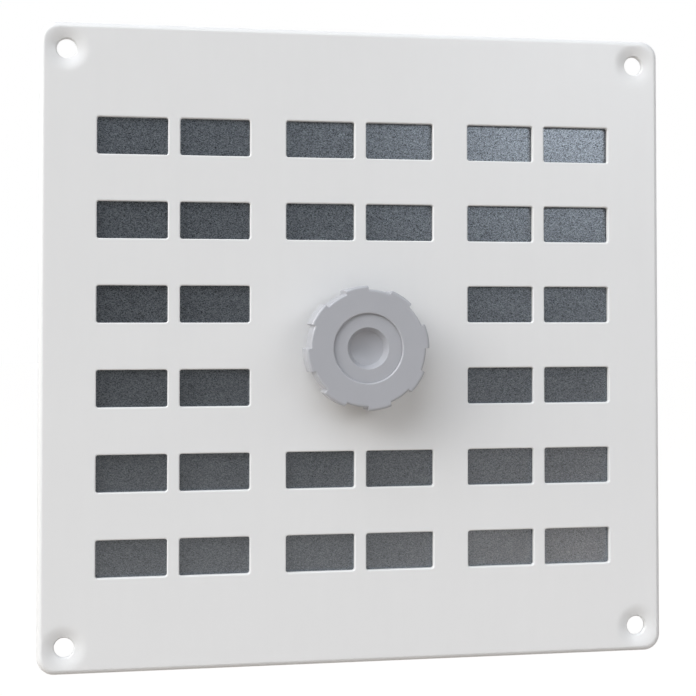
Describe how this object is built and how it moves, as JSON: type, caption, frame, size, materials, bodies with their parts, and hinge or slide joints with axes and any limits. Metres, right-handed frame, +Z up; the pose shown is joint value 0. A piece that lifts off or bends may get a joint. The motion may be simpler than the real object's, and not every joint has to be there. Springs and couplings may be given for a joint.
{
  "type": "ventilation grille",
  "caption": "Square slotted steel ventilation grille with a sliding slotted shutter behind it, which a lobed clamp knob at the centre opens, closes and locks.",
  "frame": {"origin": "centre of the four screw holes, in the plane on which the screw heads seat", "axes": "+Z up, +X to the right as seen from the room, +Y into the wall, so the front faces -Y"},
  "size_m": [0.165, 0.0196, 0.165],
  "materials": {
    "white_coat": "satin powder coat",
    "zinc_sheet": "dull rolled zinc",
    "bright_zinc": "bright zinc plate",
    "natural_nylon": "natural",
    "grey_plastic": "satin moulded",
    "brass": "turned"
  },
  "bodies": {
    "face": {"face_plate": "white_coat", "left_guide_rail": "bright_zinc", "right_guide_rail": "bright_zinc"},
    "shutter": {"shutter_plate": "zinc_sheet", "clamp_stud": "bright_zinc", "stud_plate": "bright_zinc", "slider_bush": "natural_nylon", "stud_nut": "bright_zinc"},
    "washer": {"clamp_washer": "natural_nylon"},
    "knob": {"knob_grip": "grey_plastic", "knob_insert": "brass", "knob_cap": "grey_plastic"}
  },
  "joints": [
    {"name": "shutter_slide", "type": "slide", "parent": "face", "child": "shutter", "axis": [0, 0, 1], "range_m": [0, 0.01075]},
    {"name": "knob_lift", "type": "slide", "parent": "shutter", "child": "washer", "axis": [0, -1, 0], "range_m": [0, 0.0008]},
    {"name": "knob_turn", "type": "hinge", "parent": "washer", "child": "knob", "pos_m": [0, -0.008, -0.0005], "axis": [0, -1, 0], "range_deg": [0, 360]}
  ],
  "couplings": [
    {"joint": "knob_lift", "follows": "knob_turn", "m_per_rad": 0.000127}
  ]
}
